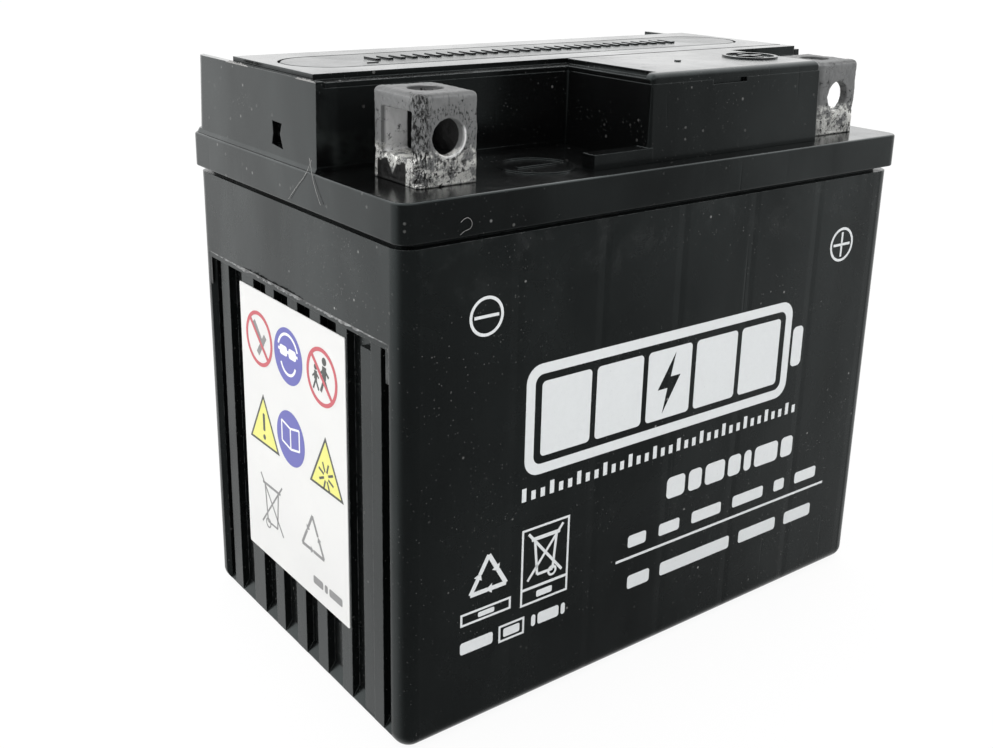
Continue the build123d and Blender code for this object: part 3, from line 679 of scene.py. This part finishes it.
inks = {
    "silver": ink("silver_ink", grey(0.66, (0.97, 1.0, 1.01)), grey(0.74, (0.97, 1.0, 1.01)), 0.45),
    "red": ink("red_ink", grey(0.5, (1.0, 0.16, 0.2)), grey(0.56, (1.0, 0.22, 0.26)), 0.4),
    "blue": ink("blue_ink", grey(0.38, (0.3, 0.3, 1.0)), grey(0.45, (0.32, 0.33, 1.0)), 0.4),
    "yellow": ink("yellow_ink", grey(0.72, (1.0, 0.97, 0.24)), grey(0.78, (1.0, 0.98, 0.3)), 0.4),
    "dark": ink("dark_ink", grey(0.06, (0.95, 1.0, 0.95)), grey(0.1, (0.95, 1.0, 0.95)), 0.45),
    "pale": ink("pale_ink", grey(0.2), grey(0.28), 0.45),
    "white": ink("white_ink", grey(0.8), grey(0.86), 0.45),
}


def band(cx, cz, radius, line, start, end):
    """A curved stroke."""
    return [arc(cx, cz, radius, start, end, 14) + arc(cx, cz, radius - line, end, start, 14)]


def walker(cx, cz, height):
    """A plain striding figure."""
    h = height
    parts = [disc(cx, cz + 0.4 * h, 0.11 * h)]
    for x0, z0, x1, z1, wide in ((0.0, 0.26, 0.02, -0.08, 0.2), (0.0, -0.05, 0.2, -0.46, 0.09),
                                 (0.02, -0.05, -0.2, -0.44, 0.09), (0.0, 0.2, 0.24, 0.0, 0.07),
                                 (0.0, 0.2, -0.22, 0.02, 0.07)):
        parts.append(stroke(cx + x0 * h, cz + z0 * h, cx + x1 * h, cz + z1 * h, wide * h))
    return parts


def rays(cx, cz, inner, outer, line):
    """Eight strokes spreading from a point."""
    strokes = []
    for turn in range(20, 380, 45):
        c, s = math.cos(math.radians(turn)), math.sin(math.radians(turn))
        strokes.append(stroke(cx + inner * c, cz + inner * s, cx + outer * c, cz + outer * s, line))
    return strokes


def goggled_face(cx, cz):
    """The crown and the jaw of a head, with goggles on a strap."""
    low, high = cz - 0.2, cz + 1.6
    return [band(cx, cz + 0.3, 3.9, 0.5, 20, 160),
            bar(cx - 2.9, low, cx - 0.3, high, 0.5),
            bar(cx + 0.3, low, cx + 2.9, high, 0.5),
            bar(cx - 3.5, cz + 0.5, cx + 3.5, cz + 1.0),
            band(cx, cz - 0.6, 3.0, 0.5, 200, 340)]


def open_book(cx, cz):
    """The outlines of two pages that meet in a low spine."""
    lines = []
    for side in (-1, 1):
        edge = cx + side * 3.2
        page = [(cx, cz - 2.0), (edge, cz - 1.3), (edge, cz + 2.6), (cx, cz + 1.9)]
        lines += [stroke(*page[i], *page[(i + 1) % 4], 0.4) for i in range(4)]
    return lines


SIGN_RADIUS, SIGN_LINE = 5.1, 0.7
CAUTION_RADIUS = 6.6


def struck_out(cx, cz):
    """A ring with a bar across it."""
    reach = (SIGN_RADIUS - 0.4) * math.sqrt(0.5)
    return [hoop(cx, cz, SIGN_RADIUS, SIGN_LINE),
            stroke(cx - reach, cz - reach, cx + reach, cz + reach, SIGN_LINE)]


def label_print():
    """Plain signs on the end label. Places run from the label's front lower corner."""
    front, middle, back = 7.6, 19.3, 30.2
    upper, lower, foot = 42.8, 27.6, 11.5
    cautions = [(x - 0.7, lower - 1.7) for x in (front, back)]
    yellow = [triangle(*place, CAUTION_RADIUS - 0.8) for place in cautions]
    dark = [triangle(*place, CAUTION_RADIUS) + triangle(*place, CAUTION_RADIUS - 0.9) for place in cautions]
    # two figures in the front ring, two crossed sticks in the back one
    red = struck_out(front, upper) + struck_out(back, upper)
    dark += walker(front - 0.9, upper + 0.4, 6.4) + walker(front + 2.0, upper - 0.6, 4.6)
    pale = [stroke(back + 1.8, upper + 3.0, back - 1.6, upper - 1.0, 0.9),
            stroke(back - 2.4, upper + 1.0, back + 0.6, upper - 2.8, 1.1)]
    # rays in the front triangle, a bar and a dot in the other
    dark += rays(front - 0.7, lower - 2.3, 0.8, 2.6, 0.45)
    dark += [bar(back - 1.1, lower - 2.2, back - 0.3, lower + 1.2, 0.3), disc(back - 0.7, lower - 3.4, 0.5)]
    # goggles over a book
    blue = [disc(middle, upper, SIGN_RADIUS), disc(middle, lower, SIGN_RADIUS)]
    white = goggled_face(middle, upper) + open_book(middle, lower)
    # a crossed bin, a recycling loop and three plain blocks below
    pale += crossed_bin(back - 2.7, foot, 10.4, 0.35) + recycling_loop(front + 4.6, foot - 0.2, 5.6, 0.6)
    pale += words(2.3, 2.9, 1.5, (4.4, 1.0, 3.4), 0.6)
    for name, shapes, thickness in (("blue", blue, 0.02), ("yellow", yellow, 0.02), ("dark", dark, 0.032),
                                    ("pale", pale, 0.032), ("white", white, 0.032), ("red", red, 0.044)):
        printed(f"label_{name}", shapes, on_label, thickness * MM, inks[name])


# ------------------------------------------------------------------ cast terminals


def cast_depth(seed, from_face, from_sill):
    """How far a cast face stands out, in millimetres: slow waves, and bites out of the slot's sill."""
    wave = 0.1 * noise.noise(seed * 0.35) + 0.05 * noise.noise(seed * 1.3) + 0.03 * noise.noise(seed * 3.1)
    ragged = noise.noise(seed * 0.9 + Vector((7.0, 3.0, 1.0)))
    near_face = max(0.0, 1.0 - from_face / (2.2 * MM))
    near_sill = max(0.0, 1.0 - from_sill / (1.1 * MM))
    return wave - 0.05 - 0.7 * near_face * near_sill * max(0.0, ragged + 0.25)


def cast_terminal(node, outward, blunt):
    """A terminal as it leaves the mould, wavy and torn, one corner blunt by so many millimetres."""
    source = frame["nodes"][node]
    low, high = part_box(node)
    cast = bpy.data.objects.new(f"{node}_cast", source.data.copy())
    cast.matrix_world = source.matrix_world
    bpy.context.scene.collection.objects.link(cast)
    fine = cast.modifiers.new("fine", "REMESH")
    fine.mode = "VOXEL"
    fine.voxel_size = 0.17 * MM
    shape = bpy.data.meshes.new_from_object(cast.evaluated_get(bpy.context.evaluated_depsgraph_get()))
    cast.modifiers.clear()
    cast.data = shape
    face = low.x if outward < 0 else high.x
    sill = deck_z + 4.0 * MM
    normals = [vertex.normal.copy() for vertex in shape.vertices]
    for vertex, outwards in zip(shape.vertices, normals):
        place = vertex.co
        if place.z < deck_z + 0.1 * MM:
            continue
        seed = place * 1000.0
        place += outwards * cast_depth(seed, abs(place.x - face), abs(place.z - sill)) * MM
        corner = abs(place.x - face) + (place.y - low.y)
        width = blunt * (1.0 + 0.35 * noise.noise(Vector((0.0, 0.0, place.z * 700.0)))) * MM
        if corner < width:
            push = (width - corner) / 2
            place.x -= outward * push
            place.y += push
        if place.z > high.z - 0.6 * MM:
            place.z -= 0.1 * MM * (0.5 + 0.5 * noise.noise(seed * 0.5))
    shape.materials.clear()
    shape.materials.append(finishes["lead"])
    for polygon in shape.polygons:
        polygon.use_smooth = True
    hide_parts(node)
    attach(cast, "battery")


# ------------------------------------------------------------------ dust, hairs and moulding flash


def by_end(out, y, z):
    """A place so many millimetres out from the lid's left end."""
    return Vector((lid_low.x - out * MM, y * MM, z * MM))


def by_front(x, out, z):
    """A place so many millimetres out from the lid's front."""
    return Vector((x * MM, lid_low.y - out * MM, z * MM))


def hair(name, points, radius, finish):
    """A fibre from the first point to the last, drawn towards those between them."""
    path = bpy.data.curves.new(name, "CURVE")
    path.dimensions = "3D"
    path.bevel_depth = radius
    path.bevel_resolution = 1
    spline = path.splines.new("NURBS")
    spline.points.add(len(points) - 1)
    for point, place in zip(spline.points, points):
        point.co = (*place, 1.0)
    spline.use_endpoint_u = True
    spline.order_u = 3
    holder = bpy.data.objects.new(name, path)
    mesh = bpy.data.meshes.new_from_object(holder)
    mesh.name = name
    bpy.data.objects.remove(holder)
    mesh.materials.append(finish)
    piece = bpy.data.objects.new(name, mesh)
    bpy.context.scene.collection.objects.link(piece)
    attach(piece, "battery")


def flash_strip(name, edge, ends, lean, heights, seed, finish):
    """A thin ragged fin of moulding flash, leaning out from a straight edge.

    edge is the edge's X and Z in metres. ends, its two ends along Y, and heights, the fin's least and
    rough greatest height, are in millimetres.
    """
    luck = random.Random(seed)
    least, greatest = heights
    steps = 160
    bm = bmesh.new()
    rows = []
    tall = 0.0
    for i in range(steps + 1):
        along = i / steps
        root = Vector((edge[0], (ends[0] + (ends[1] - ends[0]) * along) * MM, edge[1]))
        tall = 0.7 * tall + 0.3 * luck.random()
        taper = min(1.0, 6.0 * along, 6.0 * (1.0 - along))
        height = (least + (greatest - least) * max(0.0, tall - 0.25) * 1.8) * taper * MM
        rows.append([bm.verts.new(root - lean * 0.1 * MM), bm.verts.new(root + lean * height)])
    for a, b in zip(rows, rows[1:]):
        bm.faces.new((a[0], a[1], b[1], b[0]))
    mesh = bpy.data.meshes.new(name)
    bm.to_mesh(mesh)
    bm.free()
    mesh.materials.append(finish)
    piece = bpy.data.objects.new(name, mesh)
    bpy.context.scene.collection.objects.link(piece)
    skin = piece.modifiers.new("skin", "SOLIDIFY")
    skin.thickness = 0.08 * MM
    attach(piece, "battery")


# ------------------------------------------------------------------ stage, light and camera


def world_light():
    """A bright white studio behind and overhead, darker in front. The camera sees it plain white."""
    world = bpy.data.worlds.new("studio")
    bpy.context.scene.world = world
    world.use_nodes = True
    tree = world.node_tree
    tree.nodes.clear()

    def add(kind, inputs=None, **settings):
        node = tree.nodes.new(kind)
        for key, value in settings.items():
            setattr(node, key, value)
        for key, value in (inputs or {}).items():
            if isinstance(value, bpy.types.NodeSocket):
                tree.links.new(value, node.inputs[key])
            else:
                node.inputs[key].default_value = value
        return node

    def curve(value, low, high, to_low, to_high):
        """value from low to high becomes to_low to to_high, smoothly, and stops there."""
        limits = {"Value": value, "From Min": low, "From Max": high, "To Min": to_low, "To Max": to_high}
        return add("ShaderNodeMapRange", limits, interpolation_type="SMOOTHSTEP").outputs["Result"]

    def total(first, *others):
        for other in others:
            first = add("ShaderNodeMath", {0: first, 1: other}, operation="ADD").outputs[0]
        return first

    # brightness by direction: behind the battery it grows upwards, in front the right side glows too
    direction = add("ShaderNodeTexCoord").outputs["Generated"]
    x, y, z = add("ShaderNodeSeparateXYZ", {0: direction}).outputs
    behind = total(curve(z, -0.6, -0.1, 0.85, 1.1), curve(z, -0.08, 0.14, 0.0, 0.35),
                   curve(z, 0.3, 0.8, 0.0, 1.1))
    before = total(curve(x, 0.6, 0.88, 0.2, 0.68), curve(z, 0.15, 0.7, 0.0, 1.2))
    facing = curve(y, -0.45, 0.35, 0.0, 1.0)
    glow = add("ShaderNodeMix", {0: facing, 2: before, 3: behind}, data_type="FLOAT")
    seen = add("ShaderNodeLightPath").outputs["Is Camera Ray"]
    strength = add("ShaderNodeMix", {0: seen, 2: glow.outputs[0], 3: 1.0}, data_type="FLOAT")
    background = add("ShaderNodeBackground", {"Color": (1, 1, 1, 1), "Strength": strength.outputs[0]})
    output = add("ShaderNodeOutputWorld")
    tree.links.new(background.outputs[0], output.inputs[0])


def make_floor():
    """A sheet of white paper with a gentle rise at its far edge."""
    reach, steps = 3.0, 24
    flat_to, rise_rate = 1.0, 0.05
    bm = bmesh.new()
    rows = []
    for i in range(steps + 1):
        y = -reach + 2 * reach * i / steps
        rise = max(0.0, y - flat_to) ** 2 * rise_rate
        rows.append([bm.verts.new((x, y, rise)) for x in (-reach, 0.0, reach)])
    for a, b in zip(rows, rows[1:]):
        for i in range(2):
            bm.faces.new((a[i], a[i + 1], b[i + 1], b[i]))
    mesh = bpy.data.meshes.new("paper_floor")
    bm.to_mesh(mesh)
    bm.free()
    floor = bpy.data.objects.new("paper_floor", mesh)
    floor.location.z = cad_bounds[0].z - 0.02 * MM
    mesh.materials.append(floor_finish())
    bpy.context.scene.collection.objects.link(floor)
    floor.visible_glossy = False


def make_camera():
    """Looks down on the left end and the printed front, from close by."""
    yaw, pitch, roll = 0.6503, -0.2986, 0.0209
    ahead = Vector((math.sin(yaw) * math.cos(pitch), math.cos(yaw) * math.cos(pitch), math.sin(pitch)))
    level = Vector((math.cos(yaw), -math.sin(yaw), 0.0))
    over = level.cross(ahead)
    right = level * math.cos(roll) + over * math.sin(roll)
    up = -level * math.sin(roll) + over * math.cos(roll)
    lens = bpy.data.cameras.new("camera")
    lens.sensor_width = 36.0
    lens.lens = 43.46
    lens.shift_y = -0.0846
    lens.clip_start = 0.005
    camera = bpy.data.objects.new("camera", lens)
    turn = Matrix((right, up, -ahead)).transposed().to_4x4()
    camera.matrix_world = Matrix.Translation((-0.14311, -0.17111, 0.12841)) @ turn
    bpy.context.scene.collection.objects.link(camera)
    bpy.context.scene.camera = camera


make_camera()
make_floor()
world_light()
bpy.context.scene.view_settings.view_transform = "Standard"

front_print()
label_print()
cast_terminal("negative_terminal", -1, 1.5)
cast_terminal("positive_terminal", 1, 0.5)

fluff = lint()
flash_grey = patchy_grey_flash()
HAIR_RADIUS = 0.035 * MM
hair("hair_1", [by_end(-0.05, -10.2, 93.0), by_end(0.15, -8.9, 90.6), by_end(0.15, -5.4, 88.0),
                by_end(0.25, -2.9, 85.6)], HAIR_RADIUS, fluff)
hair("hair_2", [by_end(-0.05, -9.6, 93.2), by_end(0.15, -10.6, 90.8), by_end(0.25, -11.8, 88.6),
                by_end(0.3, -13.4, 86.6)], HAIR_RADIUS, fluff)
hair("hair_3", [by_front(-46.6, 0.25, 87.2), by_front(-45.6, 0.2, 88.0), by_front(-44.5, 0.25, 87.1),
                by_front(-44.7, 0.2, 86.0), by_front(-46.0, 0.15, 85.8), by_front(-46.6, 0.15, 85.3)],
     0.03 * MM, fluff)

# a ragged line of flash where the band ends above the grooves, curling up in its middle
BAND_EDGE_Z = 69.15 * MM
flash_strip("band_flash", (case_low.x + 0.03 * MM, BAND_EDGE_Z), (31.5, -31.0), Vector((-0.5, 0, -0.85)),
            (0.08, 0.55), 5, flash_grey)
flash_strip("band_flash_curl", (case_low.x - 0.05 * MM, BAND_EDGE_Z + 0.15 * MM), (17.0, -5.0),
            Vector((-0.55, 0, 0.5)), (0.0, 0.6), 11, flash_grey)
# two scraps on the top edge of the left wall
wall_x = rim_low.x + 0.85 * MM
flash_strip("wall_flash", (wall_x, rim_high.z - 0.05 * MM), (21.5, 13.0), Vector((-0.3, 0, 0.95)),
            (0.0, 0.5), 8, fluff)
flash_strip("corner_flash", (wall_x, rim_high.z - 0.1 * MM), (-3.5, -10.0), Vector((-0.4, 0, 0.9)),
            (0.0, 0.5), 9, fluff)
